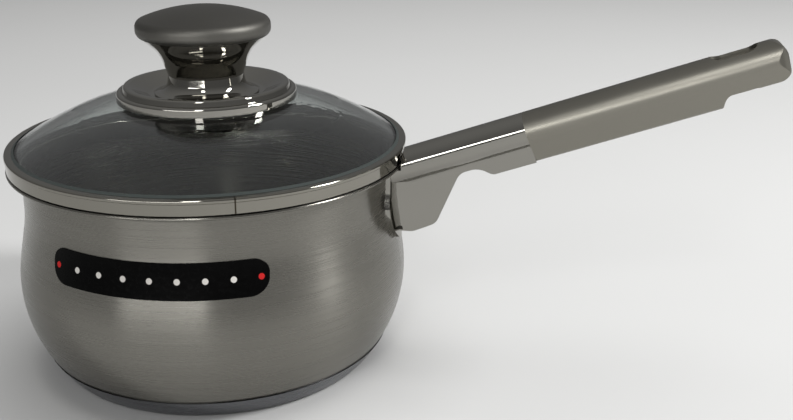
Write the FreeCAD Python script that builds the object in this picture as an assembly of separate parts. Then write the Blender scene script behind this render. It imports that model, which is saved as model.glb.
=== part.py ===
import FreeCAD, Part
import math
import os
from FreeCAD import Vector

# A small saucepan with a domed glass lid. Millimetres.
# Origin: centre of the underside of the base, on the pan's axis.
# +Z is up, +X runs towards the end of the handle.
# A "drop" is measured down from the top of the pan's lip.

# ---- pan ----
neck_radius = 80.0            # inside radius of the straight neck
pan_wall = 0.7                # sheet of the pan
belly_bulge = 5.2             # how far the belly stands out past the neck
belly_height = 41.0           # height of the widest place
belly_arc_radius = 60.0       # round of the wall below the widest place
floor_corner_radius = 9.0     # round between wall and floor
pan_height = 92.7             # top of the lip
shoulder_drop = 14.7          # where the neck turns straight
lip_reach = 5.9               # lip's edge out from the neck's outer face
lip_thickness = 1.4           # sheet turned over on itself
lip_edge_round = 0.65
flare_radius = 2.6            # turn from the neck out into the lip

# ---- base ----
cap_sheet = 0.8               # steel cap under the core
core_height = 5.7             # aluminium core
cap_proud = 0.4               # the cap's rim stands out from the wall
cap_rim_rise = 3.2            # the cap's rim above the floor's underside
cap_foot_width = 3.0          # width of the round at the cap's foot
cap_foot_rise = 1.5           # height of that round

# ---- label ----
label_drop = 20.1             # the label's top edge
label_height = 14.5
label_thickness = 0.3
label_half_width = 43.9
label_corner = 6.2
label_turn = 1.75             # its middle, in degrees round from straight ahead

# ---- lid rim ----
lid_gap = 0.5                 # the rim's underside above the lip
rim_height = 6.4
rim_sheet = 0.5
rim_cover = 3.6               # how far the rim reaches in over the glass
rim_foot_round = 0.25
rim_inner_round = 0.3
bead_height = 1.9             # rolled bead along the rim's top edge
bead_proud = 0.35             # the bead stands out from the band under it
bead_round = 0.8
bead_under_round = 0.1
skirt_clearance = 0.8         # between the lid's skirt and the pan's neck
skirt_drop = 8.7              # the skirt's lower edge
skirt_edge_round = 0.2
skirt_bend_round = 0.6
seam_azimuth = -64.6          # butt weld of the rim's band, in degrees from +X
seam_width = 0.3
seam_depth = 0.2

# ---- glass ----
glass_thickness = 4.0
glass_dome_radius = 153.9
glass_flat_cut = 4.8          # the flat middle below the full sphere's top
glass_blend_centre = 24.0     # half width of the flat middle
seal_thickness = 0.6
seal_lip = 0.6                # the seal shows this far inside the rim

# ---- knob ----
plate_radius = 38.7
plate_sheet = 0.8
plate_edge_round = 1.3
plate_flange_width = 2.1      # flange outside the groove
plate_flange_rise = 2.0       # flange's top above the seat
plate_groove = 0.35           # groove between the flange and the crest
plate_groove_round = 0.15
plate_crest_in = 3.3          # the crest's outer side, in from the plate's edge
plate_crest_width = 2.4
plate_crest_rise = 4.4        # crest above the seat in the middle
plate_crest_round = 1.1
plate_dish_round = 4.0
plate_seat_margin = 2.0       # flat seat outside the foot
gasket_width = 1.6
gasket_rise = 0.6
foot_radius = 22.5
foot_height = 8.2
foot_edge_height = 0.7
foot_edge_round = 0.3
foot_flare_height = 2.0       # where the foot's flare turns up
foot_flare_reach = 1.0        # the flare's corner outside the waist
foot_flare_round = 5.0
waist_radius = 16.2
stem_height = 16.5
stem_flare_share = 0.6        # share of the height where the stem starts to open
stem_flare_reach = 3.2        # the stem's flare outside the waist
stem_flare_round = 14.0
stem_top_radius = 26.8
cap_overhang = 1.9            # the cap past the stem's top edge
cap_under_rise = 2.9          # round between the stem's top edge and the cap's side
cap_height = 12.6
cap_edge_round = 3.4
cap_crown_radius = 72.0       # round of the cap's domed top
knob_shell = 1.2
core_clearance = 0.15
insert_wall = 1.6
insert_length = 15.0

# ---- fastener under the glass ----
screw_radius = 2.9
screw_clearance = 0.3
screw_head_radius = 6.0
screw_head_height = 3.0
screw_head_round = 1.6
screw_edge_round = 0.2
screw_tip_round = 0.5
screw_bite = 12.0             # length of thread in the insert
recess_width = 1.3
recess_length = 6.5
recess_depth = 1.8
under_gasket_radius = 13.0
under_gasket_thickness = 0.8
under_washer_radius = 11.5
under_washer_thickness = 1.2
under_washer_bevel = 0.6
spring_washer_radius = 5.2
spring_washer_thickness = 1.3
spring_washer_split = 0.8
bush_wall = 1.2
bush_clearance = 0.2          # between the bush and the glass
bush_bore_clearance = 1.2     # between the bush and the screw

# ---- handle ----
handle_angle = 19.5           # rise of the handle, degrees
root_reach = 0.4              # start of the handle's top line, out from the lip
root_rise = 6.25              # start of the handle's top line, above the lip
tube_radius = 7.4
handle_depth = 21.7           # top line to the keel's edge
keel_half = 3.0               # half the keel's thickness
keel_fillet = 2.2
handle_sheet = 1.2
shank_length = 52.6           # along the top line, to the joint with the grip
root_overrun = 12.0           # length of tube that the pan's clearance trims off
grip_swell = 0.6              # the grip's top round is this much larger than the tube
grip_keel_radius = 3.2
handle_length = 159.0         # along the top line, to the tip
tip_wall = 4.5                # solid end of the grip
tip_plan_round = 6.0          # the tip's corners seen from above
tip_top_round = 7.0
tip_low_round = 5.0
tip_lean = 1.2                # the tip's lower corner is this far back
tip_flat = 8.0                # length over which the tip's outline follows the top line
cutaway_length = 24.6         # from the keel's end to the tip
cutaway_rise = 5.1            # the cut-away above the keel's edge
cutaway_slope = 6.5           # length of the slope at the keel's end
cutaway_round = 7.0
keel_end_round = 1.5
keel_end_soft = 1.0
slot_from_tip = 19.6          # the hanging slot's middle
slot_length = 19.0
slot_width = 9.4
lip_clearance = 0.6           # handle's root to the lip and the lid
mount_thickness = 2.2
mount_gap = 2.3               # slit between the mount and the fin
mount_tip_drop = 36.9
mount_wide_drop = 26.2
mount_shoulder_drop = 11.6
mount_half_width = 11.5
mount_top_half_width = 8.2
mount_tip_round = 6.0
mount_wide_round = 14.0
mount_shoulder_round = 30.0
fin_drop = 30.9
fin_toe_reach = 4.9           # the fin's corners, out from the lip
fin_heel_reach = 15.0
fin_heel_rise = 4.4
fin_toe_round = 8.0
fin_heel_round = 6.0
notch_start = 19.9            # finger notch between the fin and the keel, along the top line
notch_end = 28.3
notch_slope = 5.0
notch_rise = 4.6              # the notch above the keel's edge
notch_start_round = 6.5
notch_end_round = 9.0
keel_start_round = 4.0
slit_low_drop = 30.3
slit_top_drop = 8.1
slit_web = 1.6                # middle of the fin, which closes the slit
tongue_half_width = 4.5
tongue_thickness = 3.0
tongue_length = 30.0
tongue_bend = 6.0
tongue_bend_reach = 1.0
spigot_length = 34.0
spigot_wall = 1.0
slip_gap = 0.1

# ---- derived ----
spare = 3.0                   # extra length of a tool, past what it cuts
neck_outer = neck_radius + pan_wall
lip_radius = neck_outer + lip_reach
shoulder_height = pan_height - shoulder_drop
belly_outer = neck_outer + belly_bulge
arc_centre_r = belly_outer - belly_arc_radius
floor_under = cap_sheet + core_height
cap_rim_height = floor_under + cap_rim_rise
lip_under = pan_height - lip_thickness
lip_root_height = lip_under - flare_radius
rim_bottom = pan_height + lid_gap
rim_top = rim_bottom + rim_height
rim_band_radius = lip_radius - bead_proud
rim_inside = rim_band_radius - rim_sheet
glass_edge_radius = rim_inside - seal_thickness
glass_low = rim_bottom + rim_sheet + seal_thickness
glass_centre_z = rim_top - math.sqrt(glass_dome_radius ** 2 - (lip_radius - rim_cover) ** 2)
glass_flat_height = glass_centre_z + glass_dome_radius - glass_flat_cut
under_glass = glass_flat_height - glass_thickness
screw_hole_radius = screw_radius + screw_clearance
insert_radius = screw_radius + insert_wall
glass_hole_radius = screw_radius + bush_bore_clearance + bush_wall + bush_clearance
foot_seat = glass_flat_height + plate_sheet
stem_bottom = foot_seat + foot_height
cap_bottom = stem_bottom + stem_height
cap_top = cap_bottom + cap_height
cap_radius = stem_top_radius + cap_overhang
gasket_low = under_glass - under_gasket_thickness
washer_low = gasket_low - under_washer_thickness
head_seat = washer_low - spring_washer_thickness
handle_cos = math.cos(math.radians(handle_angle))
handle_sin = math.sin(math.radians(handle_angle))
handle_root = Vector(lip_radius + root_reach, 0, pan_height + root_rise)
grip_top_radius = tube_radius + grip_swell
cutaway_start = handle_length - cutaway_length
cutaway_depth = handle_depth - cutaway_rise
slot_centre = handle_length - slot_from_tip
slit_top_height = pan_height - slit_top_drop
hollow_low = slit_top_height + handle_sheet
far = 2 * (lip_radius + handle_length)

X_AXIS = Vector(1, 0, 0)
Z_AXIS = Vector(0, 0, 1)
ORIGIN = Vector(0, 0, 0)


# ---- helpers ----
def line(a, b):
    return Part.makeLine(a, b)


def arc(a, m, b):
    return Part.Arc(a, m, b).toShape()


def arc_leaving(start, way, end):
    """Arc from start to end that leaves start in the direction way."""
    chord = end - start
    unit = chord * (1 / chord.Length)
    outward = (way - unit * way.dot(unit)).normalize()
    rise = chord.Length / 2 * math.tan(way.getAngle(chord) / 2)
    return arc(start, (start + end) * 0.5 + outward * rise, end)


def rounded_outline(corners):
    """Closed wire through corners given as (point, round), in any plane."""
    count = len(corners)
    edges = []
    first = None
    last = None
    for i in range(count):
        here, radius = corners[i]
        back = (corners[i - 1][0] - here).normalize()
        ahead = (corners[(i + 1) % count][0] - here).normalize()
        if radius > 0:
            half = back.getAngle(ahead) / 2
            reach = radius / math.tan(half)
            start = here + back * reach
            end = here + ahead * reach
            middle_way = (back + ahead).normalize()
            middle = here + middle_way * (radius / math.sin(half) - radius)
        else:
            start = here
            end = here
        if last is not None and (start - last).Length > 1e-6:
            edges.append(line(last, start))
        if radius > 0:
            edges.append(arc(start, middle, end))
        if first is None:
            first = start
        last = end
    if (first - last).Length > 1e-6:
        edges.append(line(last, first))
    return Part.Wire(edges)


def spin(edges):
    """Turn a closed section in the XZ plane once round the Z axis."""
    face = Part.Face(Part.Wire(edges))
    return face.revolve(ORIGIN, Z_AXIS, 360)


def turned(corners):
    """Turned solid from (radius, height, round) corners."""
    wire = rounded_outline([(Vector(r, 0, z), c) for r, z, c in corners])
    return Part.Face(wire).revolve(ORIGIN, Z_AXIS, 360)


def tube(outer, inner, low, high):
    """Plain ring between two radii and two heights."""
    ring = Part.makeCylinder(outer, high - low, Vector(0, 0, low))
    if inner > 0:
        ring = ring.cut(Part.makeCylinder(inner, high - low, Vector(0, 0, low)))
    return ring


def along(s, d, y=0.0):
    """Point s along the handle's top line and d below it, square to the line."""
    x = handle_root.x + s * handle_cos + d * handle_sin
    z = handle_root.z + s * handle_sin - d * handle_cos
    return Vector(x, y, z)


def slab(corners, half):
    """Plate of thickness 2*half about the XZ plane, from (point, round) corners."""
    moved = [(Vector(p.x, -half, p.z), c) for p, c in corners]
    return Part.Face(rounded_outline(moved)).extrude(Vector(0, 2 * half, 0))


def handle_block(start, end, half, start_round, end_round):
    """Block right through the handle, square to its top line, rounded at its ends from above."""
    corners = [(along(start, -spare, -half), start_round), (along(end, -spare, -half), end_round),
               (along(end, -spare, half), end_round), (along(start, -spare, half), start_round)]
    down = along(0, 1) - along(0, 0)
    return Part.Face(rounded_outline(corners)).extrude(down * (handle_depth + 2 * spare))


def write(name, shape):
    solid = shape.removeSplitter()
    solid.exportStep("parts/" + name + ".step")


# ---- pan ----
def wall_edges(offset):
    """Outer line of the pan moved out by offset: floor edge up to the lip's root."""
    arc_r = belly_arc_radius + offset
    corner_r = floor_corner_radius + offset
    corner_z = floor_under + floor_corner_radius
    reach = belly_arc_radius - floor_corner_radius
    corner_x = arc_centre_r + math.sqrt(reach ** 2 - (belly_height - corner_z) ** 2)
    meet = math.atan2(belly_height - corner_z, corner_x - arc_centre_r)

    def on_corner(angle):
        return Vector(corner_x + corner_r * math.cos(angle), 0, corner_z - corner_r * math.sin(angle))

    def on_belly(angle):
        return Vector(arc_centre_r + arc_r * math.cos(angle), 0, belly_height - arc_r * math.sin(angle))

    low = arc(on_corner(math.pi / 2), on_corner((math.pi / 2 + meet) / 2), on_corner(meet))
    belly = arc(on_belly(meet), on_belly(meet / 2), on_belly(0))
    steps = 8
    points = []
    for i in range(steps + 1):
        share = i / steps
        height = belly_height + share * (shoulder_height - belly_height)
        radius = neck_outer + offset + belly_bulge * (1 + math.cos(math.pi * share)) / 2
        points.append(Vector(radius, 0, height))
    curve = Part.BSplineCurve()
    curve.interpolate(Points=points, InitialTangent=Z_AXIS, FinalTangent=Z_AXIS)
    shoulder = Part.Edge(curve)
    neck = line(points[-1], Vector(neck_outer + offset, 0, lip_root_height))
    return on_corner(math.pi / 2), [low, belly, shoulder, neck]


def pan_envelope(offset):
    """The whole space inside the pan's outer skin moved out by offset, up to the lip's root."""
    start, wall = wall_edges(offset)
    top = Vector(neck_outer + offset, 0, lip_root_height)
    axis_top = Vector(0, 0, lip_root_height)
    axis_low = Vector(0, 0, start.z)
    return spin([line(axis_low, start)] + wall + [line(top, axis_top), line(axis_top, axis_low)])


def pan_body():
    """Drawn vessel with a bellied wall, straight neck and flared lip."""
    outer_start, outer = wall_edges(0)
    inner_start, inner = wall_edges(-pan_wall)
    turn = flare_radius + lip_thickness
    diag = math.sqrt(0.5)
    outer_root = Vector(neck_outer, 0, lip_root_height)
    outer_mid = Vector(neck_outer + flare_radius * (1 - diag), 0, lip_root_height + flare_radius * diag)
    under_start = Vector(neck_outer + flare_radius, 0, lip_under)
    under_end = Vector(lip_radius - lip_edge_round, 0, lip_under)
    edge = Vector(lip_radius, 0, (lip_under + pan_height) / 2)
    top_end = Vector(lip_radius - lip_edge_round, 0, pan_height)
    top_start = Vector(neck_radius + turn, 0, pan_height)
    inner_root = Vector(neck_radius, 0, pan_height - turn)
    inner_mid = Vector(neck_radius + turn * (1 - diag), 0, inner_root.z + turn * diag)
    inner_top = Vector(neck_radius, 0, lip_root_height)
    edges = [line(Vector(0, 0, outer_start.z), outer_start)]
    edges += outer
    edges += [arc(outer_root, outer_mid, under_start), line(under_start, under_end)]
    edges += [arc(under_end, edge, top_end), line(top_end, top_start)]
    edges += [arc(top_start, inner_mid, inner_root)]
    if (inner_root - inner_top).Length > 1e-6:
        edges += [line(inner_root, inner_top)]
    edges += inner
    edges += [line(inner_start, Vector(0, 0, inner_start.z))]
    edges += [line(Vector(0, 0, inner_start.z), Vector(0, 0, outer_start.z))]
    return spin(Part.__sortEdges__(edges))


def base_rim_radius(offset, height):
    """Radius of the base's side, which carries on the round of the belly."""
    return arc_centre_r + math.sqrt((belly_arc_radius + offset) ** 2 - (belly_height - height) ** 2)


def base_block(offset, low):
    """Solid of the base's outer shape moved out by offset, from low up to the rim."""
    foot_z = low + cap_foot_rise
    mid_z = (foot_z + cap_rim_height) / 2
    foot = Vector(base_rim_radius(offset, foot_z), 0, foot_z)
    mid = Vector(base_rim_radius(offset, mid_z), 0, mid_z)
    rim = Vector(base_rim_radius(offset, cap_rim_height), 0, cap_rim_height)
    flat = Vector(foot.x - cap_foot_width, 0, low)
    axis_low = Vector(0, 0, low)
    axis_top = Vector(0, 0, cap_rim_height)
    edges = [line(axis_low, flat), arc_leaving(flat, X_AXIS, foot), arc(foot, mid, rim)]
    edges += [line(rim, axis_top), line(axis_top, axis_low)]
    return spin(edges)


def base_cap():
    """Steel dish that closes the core from below and stands a little proud of the wall."""
    shell = base_block(cap_proud, 0).cut(base_block(cap_proud - cap_sheet, cap_sheet))
    return shell.cut(pan_envelope(0))


def base_core():
    """Aluminium disc that fills the space between the cap and the floor."""
    return base_block(cap_proud - cap_sheet, cap_sheet).cut(pan_envelope(0))


def front_label():
    """Thin stick-on plate that follows the shoulder at the front."""
    skin = pan_envelope(label_thickness).cut(pan_envelope(0))
    high = pan_height - label_drop
    low = high - label_height
    corners = [(Vector(-label_half_width, 0, low), label_corner),
               (Vector(label_half_width, 0, low), label_corner),
               (Vector(label_half_width, 0, high), label_corner),
               (Vector(-label_half_width, 0, high), label_corner)]
    window = Part.Face(rounded_outline(corners)).extrude(Vector(0, -2 * lip_radius, 0))
    window.rotate(ORIGIN, Z_AXIS, label_turn)
    return skin.common(window)


# ---- lid ----
def glass_edges(offset):
    """Section of the glass's top face moved down by offset: flat middle, blend and dome."""
    dome = glass_dome_radius
    flat = glass_flat_height - glass_centre_z
    blend = (dome ** 2 - flat ** 2 - glass_blend_centre ** 2) / (2 * (dome - flat))
    tilt = math.asin(glass_blend_centre / (dome - blend))
    blend_z = glass_flat_height - blend

    def on_blend(angle):
        r = glass_blend_centre + (blend - offset) * math.sin(angle)
        return Vector(r, 0, blend_z + (blend - offset) * math.cos(angle))

    def on_dome(angle):
        face = dome - offset
        return Vector(face * math.sin(angle), 0, glass_centre_z + face * math.cos(angle))

    end = math.asin((lip_radius - offset / 2) / dome)
    return [line(Vector(0, 0, glass_flat_height - offset), on_blend(0)),
            arc(on_blend(0), on_blend(tilt / 2), on_blend(tilt)),
            arc(on_dome(tilt), on_dome((tilt + end) / 2), on_dome(end))], on_dome(end)


def glass_dome_solid(offset, low):
    """Everything under the glass's top face moved down by offset, down to low."""
    edges, end = glass_edges(offset)
    foot = Vector(end.x, 0, low)
    axis_low = Vector(0, 0, low)
    top = Vector(0, 0, glass_flat_height - offset)
    return spin(edges + [line(end, foot), line(foot, axis_low), line(axis_low, top)])

def lid_glass():
    """Pressed glass with a flat middle, a hole for the screw and a ground edge."""
    below = glass_centre_z
    shell = glass_dome_solid(0, below).cut(glass_dome_solid(glass_thickness, below - spare))
    keep = tube(glass_edge_radius, glass_hole_radius, glass_low, glass_flat_height + spare)
    return shell.common(keep)


def rim_band():
    """Outer part of the rim: plain band with a rolled bead along its top edge."""
    bead_low = rim_top - bead_height
    inner = lip_radius - rim_cover
    return turned([(inner, rim_bottom, 0), (rim_band_radius, rim_bottom, rim_foot_round),
                   (rim_band_radius, bead_low, 0),
                   (lip_radius, bead_low + bead_proud, bead_under_round),
                   (lip_radius, rim_top, bead_round), (inner, rim_top, rim_inner_round)])


def rim_skirt():
    """Inner part of the rim: shelf over the lip and the skirt that centres the lid in the neck."""
    outer = neck_radius - skirt_clearance
    inner = outer - rim_sheet
    low = pan_height - skirt_drop
    shelf = rim_bottom + rim_sheet
    return turned([(inner, low, skirt_edge_round), (outer, low, skirt_edge_round),
                   (outer, rim_bottom, 0), (rim_inside, rim_bottom, 0),
                   (rim_inside, shelf, 0), (inner, shelf, skirt_bend_round)])


def seal_space(inner):
    """Space in the rim for the glass's edge and its bedding, from the inner radius out."""
    shelf = rim_bottom + rim_sheet
    dome = glass_dome_solid(-seal_thickness / 2, glass_centre_z)
    return dome.common(tube(rim_inside, inner, shelf, rim_top + spare))


def lid_rim():
    """Steel band folded round the glass's edge, with a skirt and a weld line."""
    rim = rim_band().fuse(rim_skirt()).cut(seal_space(0))
    groove = Part.makeBox(2 * seam_depth, seam_width, rim_height - rim_sheet,
                          Vector(rim_band_radius - seam_depth, -seam_width / 2, rim_bottom))
    groove.rotate(ORIGIN, Z_AXIS, seam_azimuth)
    return rim.cut(groove)


def edge_seal():
    """Silicone bedding between the glass's edge and the band."""
    ring = seal_space(lip_radius - rim_cover - seal_lip)
    glass = glass_dome_solid(0, glass_centre_z).common(tube(glass_edge_radius, 0, glass_low, rim_top + far))
    return ring.cut(glass).cut(glass_dome_solid(glass_thickness, glass_centre_z))


# ---- knob ----
def knob_plate():
    """Spun steel disc between the knob and the glass: flange, groove, crest and dished seat."""
    t = plate_sheet
    low = glass_flat_height - spare
    flange_top = foot_seat + plate_flange_rise
    crest_top = foot_seat + plate_crest_rise
    groove = plate_radius - plate_flange_width
    crest = plate_radius - plate_crest_in
    crest_inner = crest - plate_crest_width
    seat = foot_radius + plate_seat_margin
    outer = [(0, low, 0), (plate_radius, low, 0), (plate_radius, flange_top, plate_edge_round),
             (groove, flange_top, plate_groove_round),
             (groove - plate_groove, flange_top - plate_groove, plate_groove_round),
             (crest, crest_top, plate_crest_round), (crest_inner, crest_top, plate_crest_round),
             (seat, foot_seat, plate_dish_round), (0, foot_seat, 0)]
    inner = [(seat, glass_flat_height, 0), (plate_radius - t, low, 0),
             (plate_radius - t, flange_top - t, plate_edge_round - t),
             (groove - t, flange_top - t, plate_groove_round),
             (crest - t, crest_top - t, plate_crest_round - t), (crest_inner, crest_top - t, 0)]
    plate = turned(outer).cut(turned(inner)).cut(glass_dome_solid(0, glass_centre_z))
    return plate.cut(tube(screw_hole_radius, 0, glass_low, cap_top))


def plate_gasket():
    """Clear silicone ring that beds the plate's edge on the glass."""
    outer = plate_radius - plate_sheet
    ring = tube(outer, outer - gasket_width, glass_flat_height - spare, glass_flat_height + gasket_rise)
    return ring.cut(glass_dome_solid(0, glass_centre_z)).cut(knob_plate())


def knob_foot():
    """Trumpet-shaped foot of the knob, a spun shell."""
    t = knob_shell
    corner = waist_radius + foot_flare_reach
    outer = [(0, foot_seat, 0), (foot_radius, foot_seat, foot_edge_round),
             (foot_radius, foot_seat + foot_edge_height, foot_edge_round),
             (corner, foot_seat + foot_flare_height, foot_flare_round),
             (waist_radius, stem_bottom, 0), (0, stem_bottom, 0)]
    inner = [(0, foot_seat, 0), (foot_radius - 2 * t, foot_seat, 0),
             (corner - t, foot_seat + foot_flare_height - t / 2, foot_flare_round - t),
             (waist_radius - t, stem_bottom, 0), (0, stem_bottom, 0)]
    return turned(outer).cut(turned(inner))


def stem_corners(shell):
    """Section of the stem, flaring from the waist to the cap, moved in by shell."""
    flare_z = stem_bottom + stem_flare_share * stem_height
    return [(0, stem_bottom, 0), (waist_radius - shell, stem_bottom, 0),
            (waist_radius + stem_flare_reach - shell, flare_z, stem_flare_round + shell),
            (stem_top_radius - shell, cap_bottom, 0), (0, cap_bottom, 0)]


def knob_stem():
    """Polished shell that flares from the waist up to the cap."""
    return turned(stem_corners(0)).cut(turned(stem_corners(knob_shell)))


def knob_core():
    """Moulded phenolic core inside the foot and the stem, bored for the insert and the screw."""
    inside = knob_shell + core_clearance
    upper = turned(stem_corners(inside)).common(tube(cap_radius, 0, stem_bottom, cap_bottom - core_clearance))
    core = upper.fuse(tube(waist_radius - inside, 0, foot_seat, stem_bottom))
    core = core.cut(tube(screw_hole_radius, 0, foot_seat, stem_bottom))
    return core.cut(tube(insert_radius, 0, stem_bottom, stem_bottom + insert_length))


def knob_insert():
    """Threaded brass insert moulded into the core."""
    return tube(insert_radius, screw_radius, stem_bottom, stem_bottom + insert_length)


def knob_cap():
    """Satin steel cap: rounded under its edge, rounded above it, with a domed top."""
    edge_r = cap_radius - cap_edge_round
    reach = cap_crown_radius - cap_edge_round
    crown_z = cap_top - cap_crown_radius
    edge_z = crown_z + math.sqrt(reach ** 2 - edge_r ** 2)
    lean = math.asin(edge_r / reach)

    def on_crown(angle):
        return Vector(cap_crown_radius * math.sin(angle), 0, crown_z + cap_crown_radius * math.cos(angle))

    def on_edge(angle):
        return Vector(edge_r + cap_edge_round * math.sin(angle), 0, edge_z + cap_edge_round * math.cos(angle))

    side_low = Vector(cap_radius, 0, cap_bottom + cap_under_rise)
    under = Vector(stem_top_radius, 0, cap_bottom)
    axis_low = Vector(0, 0, cap_bottom)
    edges = [arc(on_crown(0), on_crown(lean / 2), on_crown(lean)),
             arc(on_crown(lean), on_edge((lean + math.pi / 2) / 2), on_edge(math.pi / 2)),
             line(on_edge(math.pi / 2), side_low), arc_leaving(side_low, -Z_AXIS, under),
             line(under, axis_low), line(axis_low, on_crown(0))]
    return spin(edges)


# ---- fastener ----
def hole_bush():
    """Sleeve that keeps the screw off the glass."""
    outer = glass_hole_radius - bush_clearance
    return tube(outer, outer - bush_wall, under_glass, glass_flat_height)


def under_gasket():
    """Silicone ring between the glass and the washer."""
    return tube(under_gasket_radius, glass_hole_radius, gasket_low, under_glass)


def under_washer():
    """Steel washer below the gasket, bevelled at its lower edge."""
    return turned([(screw_hole_radius, washer_low, 0),
                   (under_washer_radius - under_washer_bevel, washer_low, 0),
                   (under_washer_radius, gasket_low, 0), (screw_hole_radius, gasket_low, 0)])


def spring_washer():
    """Split lock washer."""
    ring = tube(spring_washer_radius, screw_hole_radius, head_seat, washer_low)
    split = Part.makeBox(spring_washer_radius, spring_washer_split, spring_washer_thickness,
                         Vector(0, -spring_washer_split / 2, head_seat))
    return ring.cut(split)


def knob_screw():
    """Pan-head screw with a cross recess, up through the glass into the insert."""
    head_low = head_seat - screw_head_height
    end = stem_bottom + screw_bite
    screw = turned([(0, head_low, 0), (screw_head_radius, head_low, screw_head_round),
                    (screw_head_radius, head_seat, screw_edge_round), (screw_radius, head_seat, 0),
                    (screw_radius, end, screw_tip_round), (0, end, 0)])
    for turn in (0, 90):
        cross = Part.makeBox(recess_length, recess_width, recess_depth,
                             Vector(-recess_length / 2, -recess_width / 2, head_low))
        cross.rotate(ORIGIN, Z_AXIS, turn)
        screw = screw.cut(cross)
    return screw


# ---- handle ----
def shank_section(shell, bottom):
    """Tube with a keel down to bottom, moved in by shell, as a face square to the handle."""
    r = tube_radius - shell
    half = keel_half - shell
    f = keel_fillet + shell
    drop = math.sqrt((r + f) ** 2 - (half + f) ** 2)
    share = r / (r + f)

    def place(side, y, d):
        return along(0, d, side * y)

    def fillet(side):
        touch = place(side, (half + f) * share, tube_radius + drop * share)
        start = place(side, half, tube_radius + drop)
        centre = place(side, half + f, tube_radius + drop)
        middle = centre + ((touch + start) * 0.5 - centre).normalize() * f
        return touch, middle, start

    left_touch, left_middle, left_keel = fillet(-1)
    right_touch, right_middle, right_keel = fillet(1)
    left_low = place(-1, half, bottom)
    right_low = place(1, half, bottom)
    edges = [arc(right_touch, along(0, shell), left_touch), arc(left_touch, left_middle, left_keel),
             line(left_keel, left_low), line(left_low, right_low),
             line(right_low, right_keel), arc(right_keel, right_middle, right_touch)]
    return Part.Face(Part.Wire(edges))


def grip_section(shell):
    """Teardrop, moved in by shell: a large round on top, a small one along the keel."""
    big = grip_top_radius - shell
    small = grip_keel_radius - shell
    low_centre = handle_depth - grip_keel_radius
    lean = math.asin((grip_top_radius - grip_keel_radius) / (low_centre - grip_top_radius))
    upper_y = big * math.cos(lean)
    upper_d = grip_top_radius + big * math.sin(lean)
    lower_y = small * math.cos(lean)
    lower_d = low_centre + small * math.sin(lean)
    upper_right = along(0, upper_d, upper_y)
    upper_left = along(0, upper_d, -upper_y)
    lower_right = along(0, lower_d, lower_y)
    lower_left = along(0, lower_d, -lower_y)
    edges = [arc(upper_right, along(0, shell), upper_left), line(upper_left, lower_left),
             arc(lower_left, along(0, low_centre + small), lower_right), line(lower_right, upper_right)]
    return Part.Face(Part.Wire(edges))


def run(face, start, end):
    """Sweep a section straight along the handle from start to end."""
    way = along(1, 0) - along(0, 0)
    moved = face.copy()
    moved.translate(way * start)
    return moved.extrude(way * (end - start))


def pan_keepout():
    """Space that the handle stays out of: the wall and the mount, the lip, and the lid's way up."""
    neck = tube(neck_outer + mount_thickness, 0, lip_root_height - spare, lip_under)
    above = tube(lip_radius + lip_clearance, 0, lip_under - lip_clearance, far)
    return pan_envelope(mount_thickness).fuse(neck).fuse(above)


def shank_side_corners(top):
    """Side outline of the root part up to top: fin, finger notch, then the keel's edge."""
    inside = neck_outer - spare
    fin_bottom = pan_height - fin_drop
    notch_depth = handle_depth - notch_rise
    top_start = along(-root_overrun, top)
    return [(Vector(inside, 0, fin_bottom), 0),
            (Vector(lip_radius + fin_toe_reach, 0, fin_bottom), fin_toe_round),
            (Vector(lip_radius + fin_heel_reach, 0, fin_bottom + fin_heel_rise), fin_heel_round),
            (along(notch_start, notch_depth), notch_start_round),
            (along(notch_end, notch_depth), notch_end_round),
            (along(notch_end + notch_slope, handle_depth), keel_start_round),
            (along(shank_length, handle_depth), 0), (along(shank_length, top), 0),
            (top_start, 0), (Vector(inside, 0, top_start.z), 0)]


def slit():
    """Narrow gap between the mount and the fin, one on each side of the fin's middle."""
    ring = pan_envelope(mount_thickness + mount_gap).cut(pan_envelope(mount_thickness))
    low = pan_height - slit_low_drop
    half = keel_half + spare
    window = Part.makeBox(far, 2 * half, slit_top_height - low, Vector(0, -half, low))
    web = Part.makeBox(far, slit_web, far, Vector(0, -slit_web / 2, 0))
    return ring.common(window).cut(web)


def space_above(x, low, high):
    """Large box past x, between two heights."""
    return Part.makeBox(far, far, high - low, Vector(x, -far / 2, low))


def shank_outer():
    """Outer shape of the polished root part, before it is hollowed."""
    body = run(shank_section(0, handle_depth), -root_overrun, shank_length)
    side = slab(shank_side_corners(-spare), tube_radius + spare)
    body = body.common(space_above(0, slit_top_height, far)).common(side)
    return body.fuse(slab(shank_side_corners(tube_radius), keel_half))


def shank_hollow():
    """Inside of the root part: the tube's bore and the slot between the keel's two sheets."""
    bore = run(shank_section(handle_sheet, handle_depth + spare), -root_overrun, shank_length)
    front = space_above(lip_radius + lip_clearance, hollow_low, far)
    root = space_above(0, hollow_low, lip_under - lip_clearance - handle_sheet)
    return bore.common(front.fuse(root))


def handle_shank():
    """Polished part of the handle: folded sheet, tube above and keel below, with the fin."""
    return shank_outer().cut(shank_hollow()).cut(pan_keepout()).cut(slit())


def handle_mount():
    """Saddle plate welded to the neck under the lip."""
    half = mount_top_half_width
    wide = pan_height - mount_wide_drop
    shoulder = pan_height - mount_shoulder_drop
    corners = [(Vector(0, 0, pan_height - mount_tip_drop), mount_tip_round),
               (Vector(0, mount_half_width, wide), mount_wide_round),
               (Vector(0, half, shoulder), mount_shoulder_round),
               (Vector(0, half, lip_root_height), 0), (Vector(0, -half, lip_root_height), 0),
               (Vector(0, -half, shoulder), mount_shoulder_round),
               (Vector(0, -mount_half_width, wide), mount_wide_round)]
    window = Part.Face(rounded_outline(corners)).extrude(Vector(far, 0, 0))
    return pan_envelope(mount_thickness).cut(pan_envelope(0)).common(window)


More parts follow.
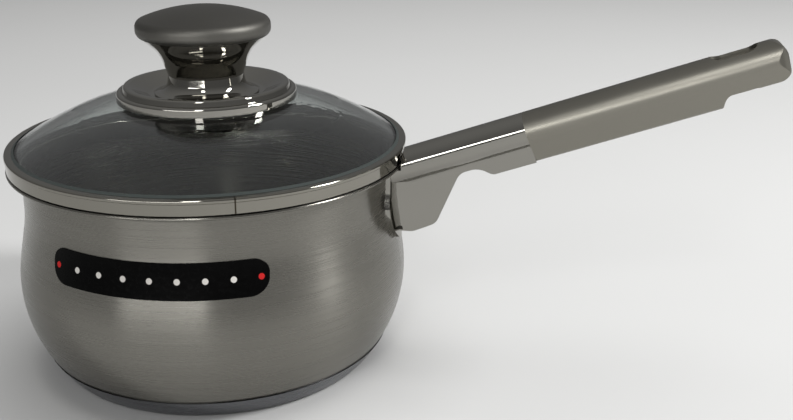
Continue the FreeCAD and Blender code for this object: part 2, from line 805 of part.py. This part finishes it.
def handle_tongue():
    """Steel strap from the mount, under the lip, up inside the tube."""
    t = tongue_thickness
    bend_x = lip_radius + lip_clearance + tongue_bend_reach
    end_x = along(tongue_length, 0).x
    rise = tongue_length * handle_sin
    corners = [(Vector(neck_outer, 0, hollow_low), 0), (Vector(bend_x, 0, hollow_low), tongue_bend),
               (Vector(end_x, 0, hollow_low + rise), 0),
               (Vector(end_x - t * handle_sin, 0, hollow_low + rise + t), 0),
               (Vector(bend_x, 0, hollow_low + t), tongue_bend - t),
               (Vector(neck_outer, 0, hollow_low + t), 0)]
    return slab(corners, tongue_half_width).common(shank_hollow()).cut(pan_keepout())


def handle_spigot():
    """Sleeve that joins the shank and the grip from inside."""
    way = along(1, 0) - along(0, 0)
    outer = tube_radius - handle_sheet - slip_gap
    start = along(shank_length - spigot_length / 2, tube_radius)
    sleeve = Part.makeCylinder(outer, spigot_length, start, way)
    return sleeve.cut(Part.makeCylinder(outer - spigot_wall, spigot_length, start, way))


def grip_side_corners():
    """Side outline of the grip with the cut-away and the rounded tip."""
    soft = keel_end_soft
    return [(along(shank_length, -spare), 0), (along(shank_length, handle_depth + soft), 0),
            (along(cutaway_start - 2 * soft, handle_depth + soft), 0),
            (along(cutaway_start, handle_depth), keel_end_round),
            (along(cutaway_start + cutaway_slope, cutaway_depth), cutaway_round),
            (along(handle_length - tip_lean, cutaway_depth), tip_low_round),
            (along(handle_length, 0), tip_top_round), (along(handle_length - tip_flat, 0), 0),
            (along(handle_length - tip_flat, -spare), 0)]


def handle_grip():
    """Satin hollow grip with a teardrop section, cut away under the tip, with a hanging slot."""
    outer = run(grip_section(0), shank_length, handle_length + spare)
    side = slab(grip_side_corners(), grip_top_radius + spare)
    tip = handle_block(shank_length - spare, handle_length, grip_top_radius + slip_gap, 0, tip_plan_round)
    hollow = run(grip_section(handle_sheet), shank_length, handle_length - tip_wall)
    half = slot_length / 2
    end = slot_width / 2
    slot = handle_block(slot_centre - half, slot_centre + half, end, end, end)
    return outer.common(side).common(tip).cut(hollow).cut(slot)


def main():
    os.makedirs("parts", exist_ok=True)
    makers = [pan_body, base_core, base_cap, front_label, handle_mount, handle_tongue, handle_shank,
              handle_spigot, handle_grip, lid_glass, lid_rim, edge_seal, knob_plate, plate_gasket,
              hole_bush, under_gasket, under_washer, spring_washer, knob_screw, knob_foot, knob_stem,
              knob_core, knob_insert, knob_cap]
    for make in makers:
        shape = make()
        box = shape.BoundBox
        print(make.__name__, len(shape.Solids), round(shape.Volume), shape.isValid(),
              [round(v, 1) for v in (box.XMin, box.XMax, box.YMin, box.YMax, box.ZMin, box.ZMax)])
        write(make.__name__, shape)


main()
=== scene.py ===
"""A saucepan with a glass lid on a pale floor: materials, floor, light and camera."""
import math

import bpy
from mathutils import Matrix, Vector


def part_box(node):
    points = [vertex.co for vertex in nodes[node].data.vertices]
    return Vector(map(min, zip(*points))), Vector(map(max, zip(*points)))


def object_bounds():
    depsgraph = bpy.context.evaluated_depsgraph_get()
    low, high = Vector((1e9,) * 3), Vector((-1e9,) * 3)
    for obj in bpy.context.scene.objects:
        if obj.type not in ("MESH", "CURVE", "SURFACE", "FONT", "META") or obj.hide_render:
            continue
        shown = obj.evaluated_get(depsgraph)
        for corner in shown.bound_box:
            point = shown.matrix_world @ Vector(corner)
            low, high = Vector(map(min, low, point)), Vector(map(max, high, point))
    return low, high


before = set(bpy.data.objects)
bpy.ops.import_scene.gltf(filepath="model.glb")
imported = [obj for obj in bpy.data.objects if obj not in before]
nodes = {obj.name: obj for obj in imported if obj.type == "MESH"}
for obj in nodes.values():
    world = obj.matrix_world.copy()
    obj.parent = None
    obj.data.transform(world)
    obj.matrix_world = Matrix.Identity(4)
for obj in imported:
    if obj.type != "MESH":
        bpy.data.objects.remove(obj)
cad_low, cad_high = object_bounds()
MM = 0.001

SEAM_AZIMUTH = -64.6             # the rim's weld line, in degrees from +X
WELD_HALF_WIDTH = 0.18 * MM
WELD_EDGE = 0.40 * MM            # outer end of the weld line's soft edge
WELD_COLOUR = (0.035, 0.028, 0.018, 1.0)

DOT_PITCH = 11.0 * MM
DOT_COUNT = 7                    # pale dots in the label's row; a red dot follows at each end
DOT_RADIUS = 1.15 * MM
DOT_EDGE = 1.3 * MM              # outer end of a dot's soft edge
DOT_PALE = (0.55, 0.53, 0.50, 1.0)
DOT_RED = (0.45, 0.02, 0.02, 1.0)
LABEL_DARKEST = (0.001, 0.001, 0.001, 1.0)
LABEL_LIGHTEST = (0.003, 0.003, 0.003, 1.0)

GLASS_COLOUR = (0.93, 0.97, 0.955, 1.0)
GLASS_IOR = 1.5
SILICONE_COLOUR = (0.045, 0.055, 0.052, 1.0)
SILICONE_IOR = 1.41
PHENOLIC_COLOUR = (0.02, 0.02, 0.02, 1.0)
BRASS_COLOUR = (0.55, 0.38, 0.14, 1.0)

CREASE_ANGLE = 30.0              # edges sharper than this stay crisp, in degrees
BLUE_LOSS = 3.0                  # a warm grey loses this much more blue than it gains red

FLOOR_HALF = 6.0
FLOOR_DARKEST = (0.46, 0.46, 0.455, 1.0)
FLOOR_LIGHTEST = (0.48, 0.48, 0.475, 1.0)
WORLD_BELOW = (0.14, 0.14, 0.14, 1.0)
WORLD_ABOVE = (0.36, 0.36, 0.36, 1.0)
LAMP_TARGET = Vector((0.02, 0.0, 0.08))

CAMERA_AT = (0.15965, -0.43071, 0.22765)
CAMERA_AHEAD = Vector((-0.16338, 0.92656, -0.33881))
CAMERA_LENS = 48.09
CAMERA_SENSOR = 36.0
CAMERA_CLIP = 0.01

MIX_FIRST = 6                    # the Mix node's colour sockets
MIX_SECOND = 7
MIX_RESULT = 2


# ---- node helpers ----
class Shader:
    """A material whose nodes are made by short calls."""

    def __init__(self, name):
        self.material = bpy.data.materials.new(name)
        self.material.use_nodes = True
        self.tree = self.material.node_tree
        self.surface = self.tree.nodes["Principled BSDF"]
        self.place = self.tree.nodes.new("ShaderNodeTexCoord").outputs["Object"]

    def put(self, socket, value):
        """Sets a socket to a number or colour, or links it."""
        if isinstance(value, bpy.types.NodeSocket):
            self.tree.links.new(value, socket)
        else:
            socket.default_value = value

    def set(self, **values):
        """Sets inputs of the Principled shader by name, with _ for a space."""
        for name, value in values.items():
            self.put(self.surface.inputs[name.replace("_", " ")], value)

    def math(self, operation, a, b=0.0, c=0.0):
        node = self.tree.nodes.new("ShaderNodeMath")
        node.operation = operation
        for socket, value in zip(node.inputs, (a, b, c)):
            self.put(socket, value)
        return node.outputs[0]

    def average(self, first, second, share):
        """Weighted mean, with the given share of the first value."""
        return self.math("ADD", self.math("MULTIPLY", first, share), self.math("MULTIPLY", second, 1 - share))

    def split(self, vector):
        node = self.tree.nodes.new("ShaderNodeSeparateXYZ")
        self.put(node.inputs[0], vector)
        return node.outputs

    def join(self, x, y, z):
        node = self.tree.nodes.new("ShaderNodeCombineXYZ")
        for socket, value in zip(node.inputs, (x, y, z)):
            self.put(socket, value)
        return node.outputs[0]

    def scaled(self, vector, factors):
        node = self.tree.nodes.new("ShaderNodeVectorMath")
        node.operation = "MULTIPLY"
        self.put(node.inputs[0], vector)
        self.put(node.inputs[1], factors)
        return node.outputs[0]

    def noise(self, vector, scale, detail=2.0, rough=0.5):
        node = self.tree.nodes.new("ShaderNodeTexNoise")
        self.put(node.inputs["Vector"], vector)
        node.inputs["Scale"].default_value = scale
        node.inputs["Detail"].default_value = detail
        node.inputs["Roughness"].default_value = rough
        return node.outputs["Fac"]

    def spread(self, value, low, high, new_low, new_high):
        """Maps a value from one range to another, clamped."""
        node = self.tree.nodes.new("ShaderNodeMapRange")
        for socket, number in zip(node.inputs, (value, low, high, new_low, new_high)):
            self.put(socket, number)
        return node.outputs[0]

    def blend(self, share, first, second):
        node = self.tree.nodes.new("ShaderNodeMix")
        node.data_type = "RGBA"
        self.put(node.inputs[0], share)
        self.put(node.inputs[MIX_FIRST], first)
        self.put(node.inputs[MIX_SECOND], second)
        return node.outputs[MIX_RESULT]

    def bump(self, height, strength, depth):
        node = self.tree.nodes.new("ShaderNodeBump")
        node.inputs["Strength"].default_value = strength
        node.inputs["Distance"].default_value = depth
        self.put(node.inputs["Height"], height)
        return node.outputs[0]

    def turned(self):
        """Position as (angle round Z, radius, height), for marks that run round the pan's axis."""
        x, y, z = self.split(self.place)
        angle = self.math("ARCTAN2", y, x)
        square = self.math("ADD", self.math("MULTIPLY", x, x), self.math("MULTIPLY", y, y))
        return angle, self.math("SQRT", square), z

    def around(self):
        """Tangent that runs round the Z axis."""
        node = self.tree.nodes.new("ShaderNodeTangent")
        node.direction_type = "RADIAL"
        node.axis = "Z"
        return node.outputs[0]


def grey(level, warm=0.0):
    return (level * (1 + warm), level, level * (1 - BLUE_LOSS * warm), 1.0)


def toned(colour, factor):
    """The colour made lighter or darker."""
    return tuple(min(1.0, factor * c) for c in colour[:3]) + (1.0,)


# ---- materials ----
def brushed_round(name, colour, rough, line_pitch):
    """Steel brushed round the pan's axis: fine rings, soft streaks and a few smudges."""
    m = Shader(name)
    angle, radius, z = m.turned()
    rings = m.join(m.math("MULTIPLY", angle, 0.9), m.math("DIVIDE", radius, line_pitch),
                   m.math("DIVIDE", z, line_pitch))
    fine = m.noise(rings, scale=1.0, detail=3.0, rough=0.6)
    broad = m.noise(m.scaled(rings, (1.6, 0.09, 0.09)), scale=1.0)
    smudge = m.noise(m.place, scale=22.0, detail=3.0)
    shade = m.average(fine, broad, share=0.6)
    roughness = m.math("ADD",
                       m.spread(fine, low=0.3, high=0.7, new_low=rough * 0.85, new_high=rough * 1.15),
                       m.spread(smudge, low=0.4, high=0.7, new_low=-0.02, new_high=0.03))
    m.set(Metallic=1.0, Base_Color=m.blend(shade, toned(colour, 0.90), toned(colour, 1.08)),
          Roughness=roughness, Anisotropic=0.85, Anisotropic_Rotation=0.25, Tangent=m.around(),
          Normal=m.bump(fine, strength=0.10, depth=0.03 * MM))
    return m.material


def polish(m, colour, rough):
    """Gives a shader the mirror polish: faint waviness, wiping marks and smudges."""
    wave = m.noise(m.place, scale=45.0, detail=1.0)
    wipe = m.noise(m.scaled(m.place, (900.0, 60.0, 320.0)), scale=1.0, detail=3.0)
    smudge = m.noise(m.place, scale=60.0, detail=4.0, rough=0.6)
    roughness = m.math("ADD",
                       m.spread(smudge, low=0.45, high=0.75, new_low=rough, new_high=rough + 0.07),
                       m.spread(wipe, low=0.5, high=0.8, new_low=0.0, new_high=0.03))
    tone = m.blend(smudge, colour, toned(colour, 0.93))
    m.set(Metallic=1.0, Base_Color=tone, Roughness=roughness,
          Normal=m.bump(wave, strength=0.05, depth=0.6 * MM))
    return tone


def polished(name, colour, rough=0.05):
    m = Shader(name)
    polish(m, colour, rough)
    return m.material


def welded_rim(name, colour):
    """Mirror-polished band with its butt weld as a fine dull line."""
    m = Shader(name)
    tone = polish(m, colour, rough=0.06)
    angle, radius, _ = m.turned()
    aside = m.math("ABSOLUTE", m.math("SUBTRACT", angle, math.radians(SEAM_AZIMUTH)))
    weld = m.spread(m.math("MULTIPLY", aside, radius), low=WELD_HALF_WIDTH, high=WELD_EDGE,
                    new_low=1.0, new_high=0.0)
    m.set(Base_Color=m.blend(weld, tone, WELD_COLOUR))
    return m.material


def satin(name, colour, rough=0.36):
    """Fine matt-blasted steel: tiny grain, slow variation in tone and gloss."""
    m = Shader(name)
    grain = m.noise(m.place, scale=2600.0, detail=2.0, rough=0.7)
    slow = m.noise(m.place, scale=38.0, detail=3.0)
    tone = m.average(grain, slow, share=0.55)
    m.set(Metallic=1.0, Base_Color=m.blend(tone, toned(colour, 0.90), toned(colour, 1.06)),
          Roughness=m.spread(slow, low=0.3, high=0.7, new_low=rough - 0.03, new_high=rough + 0.04),
          Normal=m.bump(grain, strength=0.22, depth=0.06 * MM))
    return m.material


def clear_glass(name):
    """Pressed soda glass with a faint green cast and a few water marks."""
    m = Shader(name)
    marks = m.noise(m.place, scale=140.0, detail=4.0, rough=0.65)
    m.set(Base_Color=GLASS_COLOUR, Transmission_Weight=1.0, IOR=GLASS_IOR,
          Roughness=m.spread(marks, low=0.62, high=0.8, new_low=0.0, new_high=0.05))
    return m.material


def silicone(name, colour):
    """Cloudy silicone with a fine grain."""
    m = Shader(name)
    grain = m.noise(m.place, scale=700.0, detail=3.0)
    m.set(Base_Color=m.blend(grain, colour, toned(colour, 0.85)),
          Roughness=m.spread(grain, low=0.3, high=0.7, new_low=0.35, new_high=0.5),
          Transmission_Weight=0.35, IOR=SILICONE_IOR,
          Normal=m.bump(grain, strength=0.1, depth=0.05 * MM))
    return m.material


def moulded(name, colour, rough):
    """Dark moulded plastic with a fine grain."""
    m = Shader(name)
    grain = m.noise(m.place, scale=900.0, detail=3.0)
    m.set(Base_Color=m.blend(grain, colour, toned(colour, 1.5)),
          Roughness=m.spread(grain, low=0.3, high=0.7, new_low=rough - 0.05, new_high=rough + 0.08),
          Normal=m.bump(grain, strength=0.15, depth=0.05 * MM))
    return m.material


def label_face(name, low, high):
    """Gloss black plate with a plain row of pale dots and a red dot at each end."""
    m = Shader(name)
    angle, _, z = m.turned()
    middle = (low.z + high.z) / 2
    bend = -low.y
    left = math.atan2(-math.sqrt(bend ** 2 - low.x ** 2), low.x)
    right = math.atan2(-math.sqrt(bend ** 2 - high.x ** 2), high.x)
    across = m.math("MULTIPLY", m.math("SUBTRACT", angle, (left + right) / 2), bend)
    up = m.math("SUBTRACT", z, middle)
    nearest = m.math("ROUND", m.math("DIVIDE", across, DOT_PITCH))
    aside = m.math("SUBTRACT", across, m.math("MULTIPLY", nearest, DOT_PITCH))
    square = m.math("ADD", m.math("MULTIPLY", aside, aside), m.math("MULTIPLY", up, up))
    dot = m.spread(m.math("SQRT", square), low=DOT_RADIUS, high=DOT_EDGE, new_low=1.0, new_high=0.0)
    row = m.math("ABSOLUTE", nearest)
    pale = m.math("MULTIPLY", dot, m.math("LESS_THAN", row, DOT_COUNT / 2))
    ends = m.math("MULTIPLY", dot, m.math("COMPARE", row, (DOT_COUNT + 1) / 2, 0.1))
    speck = m.noise(m.place, scale=500.0, detail=4.0, rough=0.6)
    black = m.blend(speck, LABEL_DARKEST, LABEL_LIGHTEST)
    with_pale = m.blend(pale, black, DOT_PALE)
    m.set(Base_Color=m.blend(ends, with_pale, DOT_RED),
          Roughness=m.spread(speck, low=0.4, high=0.7, new_low=0.22, new_high=0.32),
          Specular_IOR_Level=0.03, Normal=m.bump(speck, strength=0.05, depth=0.05 * MM))
    return m.material


def floor_paint(name):
    """Matt pale paint, a little cloudy."""
    m = Shader(name)
    cloud = m.noise(m.place, scale=3.0)
    m.set(Base_Color=m.blend(cloud, FLOOR_DARKEST, FLOOR_LIGHTEST), Roughness=0.9,
          Specular_IOR_Level=0.1)
    return m.material


def dress(node, material):
    """Gives a CAD node its material and smooth shading with crisp edges."""
    mesh = nodes[node].data
    mesh.materials.clear()
    mesh.materials.append(material)
    mesh.shade_smooth()
    mesh.set_sharp_from_angle(angle=math.radians(CREASE_ANGLE))


body_steel = brushed_round("body_steel", grey(0.20, warm=0.035), rough=0.28, line_pitch=0.35 * MM)
base_steel = brushed_round("base_steel", grey(0.17, warm=-0.02), rough=0.26, line_pitch=0.30 * MM)
mirror_steel = polished("mirror_steel", grey(0.30, warm=0.03))
rim_steel = welded_rim("rim_steel", grey(0.26, warm=0.04))
satin_steel = satin("satin_steel", grey(0.24, warm=0.045))
cap_steel = satin("cap_steel", grey(0.13, warm=0.03), rough=0.50)
plain_aluminium = satin("plain_aluminium", grey(0.55), rough=0.45)
lid_glass = clear_glass("lid_glass")
clear_rubber = silicone("clear_rubber", SILICONE_COLOUR)
phenolic = moulded("phenolic", PHENOLIC_COLOUR, rough=0.4)
brass = polished("brass", BRASS_COLOUR, rough=0.2)
label_black = label_face("label_black", *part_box("front_label"))

for node, material in {
    "pan_body": body_steel, "base_cap": base_steel, "base_core": plain_aluminium,
    "front_label": label_black, "handle_mount": mirror_steel, "handle_tongue": mirror_steel,
    "handle_shank": mirror_steel, "handle_spigot": plain_aluminium, "handle_grip": satin_steel,
    "lid_glass": lid_glass, "lid_rim": rim_steel, "edge_seal": clear_rubber,
    "knob_plate": mirror_steel, "plate_gasket": clear_rubber, "hole_bush": clear_rubber,
    "under_gasket": clear_rubber, "under_washer": mirror_steel, "spring_washer": base_steel,
    "knob_screw": base_steel, "knob_foot": mirror_steel, "knob_stem": mirror_steel,
    "knob_core": phenolic, "knob_insert": brass, "knob_cap": cap_steel,
}.items():
    dress(node, material)


# ---- floor, light and camera ----
def build_floor():
    half = FLOOR_HALF
    corners = [(-half, -half, 0), (half, -half, 0), (half, half, 0), (-half, half, 0)]
    mesh = bpy.data.meshes.new("floor")
    mesh.from_pydata(corners, [], [(0, 1, 2, 3)])
    mesh.materials.append(floor_paint("floor_paint"))
    floor = bpy.data.objects.new("floor", mesh)
    floor.location.z = cad_low.z
    bpy.context.scene.collection.objects.link(floor)


def softbox(name, azimuth, elevation, distance, width, height, power):
    """Rectangular lamp aimed at the pan. Azimuth is measured from +X, in degrees."""
    light = bpy.data.lights.new(name, "AREA")
    light.shape = "RECTANGLE"
    light.size = width
    light.size_y = height
    light.energy = power
    lamp = bpy.data.objects.new(name, light)
    a = math.radians(azimuth)
    e = math.radians(elevation)
    away = Vector((math.cos(a) * math.cos(e), math.sin(a) * math.cos(e), math.sin(e)))
    lamp.location = LAMP_TARGET + away * distance
    lamp.rotation_euler = away.to_track_quat("Z", "Y").to_euler()
    bpy.context.scene.collection.objects.link(lamp)
    return lamp


def build_world():
    """Even grey surroundings, a little brighter above than below."""
    world = bpy.data.worlds.new("studio")
    bpy.context.scene.world = world
    world.use_nodes = True
    tree = world.node_tree
    place = tree.nodes.new("ShaderNodeTexCoord")
    split = tree.nodes.new("ShaderNodeSeparateXYZ")
    ramp = tree.nodes.new("ShaderNodeValToRGB")
    back = tree.nodes["Background"]
    tree.links.new(place.outputs["Generated"], split.inputs[0])
    tree.links.new(split.outputs["Z"], ramp.inputs[0])
    tree.links.new(ramp.outputs[0], back.inputs[0])
    ramp.color_ramp.elements[0].position = 0.0
    ramp.color_ramp.elements[0].color = WORLD_BELOW
    ramp.color_ramp.elements[1].position = 1.0
    ramp.color_ramp.elements[1].color = WORLD_ABOVE
    back.inputs[1].default_value = 1.0


def build_camera():
    camera = bpy.data.cameras.new("camera")
    camera.lens = CAMERA_LENS
    camera.sensor_width = CAMERA_SENSOR
    camera.clip_start = CAMERA_CLIP
    eye = bpy.data.objects.new("camera", camera)
    eye.location = CAMERA_AT
    eye.rotation_euler = CAMERA_AHEAD.to_track_quat("-Z", "Y").to_euler()
    bpy.context.scene.collection.objects.link(eye)
    bpy.context.scene.camera = eye


build_floor()
build_world()
softbox("window_left", azimuth=-84.0, elevation=38.0, distance=1.6, width=0.22, height=0.40, power=4.5)
softbox("window_right", azimuth=2.0, elevation=36.0, distance=1.6, width=0.24, height=0.60, power=24.0)
softbox("low_strip", azimuth=-102.0, elevation=10.0, distance=1.7, width=1.5, height=0.16, power=9.0)
overhead = softbox("overhead", azimuth=60.0, elevation=80.0, distance=1.9, width=1.6, height=1.6, power=30.0)
overhead.visible_glossy = False
overhead.visible_transmission = False
build_camera()
bpy.context.scene.view_settings.view_transform = "Standard"
